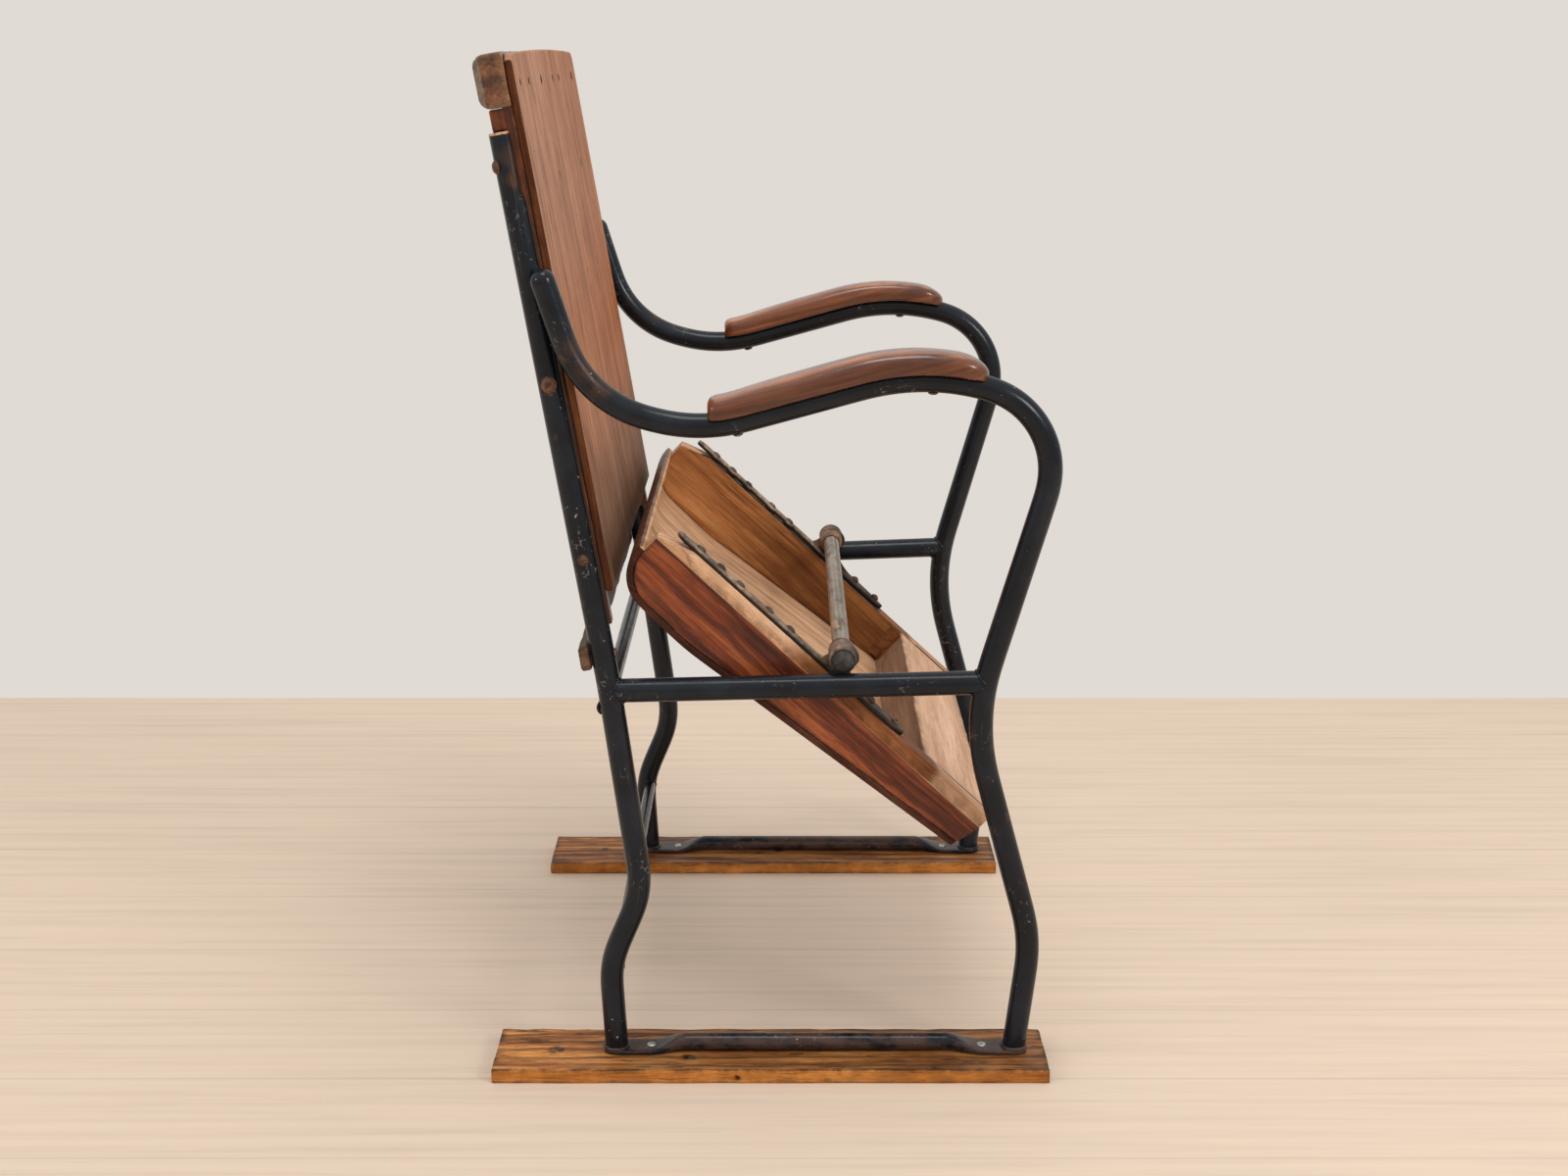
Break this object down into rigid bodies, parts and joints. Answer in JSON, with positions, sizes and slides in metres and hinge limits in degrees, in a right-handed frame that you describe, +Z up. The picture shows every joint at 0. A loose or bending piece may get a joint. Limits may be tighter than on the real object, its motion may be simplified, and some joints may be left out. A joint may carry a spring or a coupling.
{
  "type": "tip-up chair",
  "caption": "Tip-up chair: bent black pipe side frames on wooden skid boards, wooden back and arm pads, and a wooden seat that tips up about a cross tube.",
  "frame": {"origin": "on the floor, in the middle of the box of the whole chair, midway between the skid boards", "axes": "+Z up, +X the way the sitter faces, +Y to the sitter's left, across the chair"},
  "size_m": [0.508, 0.582, 0.911],
  "materials": {
    "black_pipe": "worn satin black paint",
    "iron": "dark, slightly rusty",
    "bare_steel": "dull, bare",
    "walnut": "worn satin varnish",
    "dark_walnut": "polished by hands",
    "mahogany": "old varnish",
    "raw_wood": "raw",
    "skid_wood": "old varnish, worn edges"
  },
  "bodies": {
    "frame": {"right_skid_board": "skid_wood", "left_skid_board": "skid_wood", "right_foot_tie": "black_pipe", "left_foot_tie": "black_pipe", "tie_screws": "bare_steel", "board_screws": "iron", "right_back_post": "black_pipe", "left_back_post": "black_pipe", "right_arm_leg_tube": "black_pipe", "left_arm_leg_tube": "black_pipe", "right_side_rung": "black_pipe", "left_side_rung": "black_pipe", "rear_cross_tube": "black_pipe", "lower_cross_tube": "black_pipe", "pivot_tube": "bare_steel", "pivot_caps": "bare_steel", "stop_collars": "iron", "right_arm_pad": "dark_walnut", "left_arm_pad": "dark_walnut", "pad_screws": "iron", "back_panel": "walnut", "right_back_stile": "mahogany", "left_back_stile": "mahogany", "top_batten": "dark_walnut", "panel_screws": "iron", "post_bolts": "iron", "rear_slat": "walnut", "slat_bolts": "iron"},
    "seat": {"seat_panel": "walnut", "right_seat_rail": "mahogany", "left_seat_rail": "mahogany", "seat_rear_block": "raw_wood", "right_hinge_bracket": "iron", "left_hinge_bracket": "iron", "bracket_screws": "iron"}
  },
  "joints": [
    {"name": "seat_tip", "type": "hinge", "parent": "frame", "child": "seat", "pos_m": [0.064, 0, 0.38767], "axis": [0, 1, 0], "range_deg": [0, 137]}
  ]
}
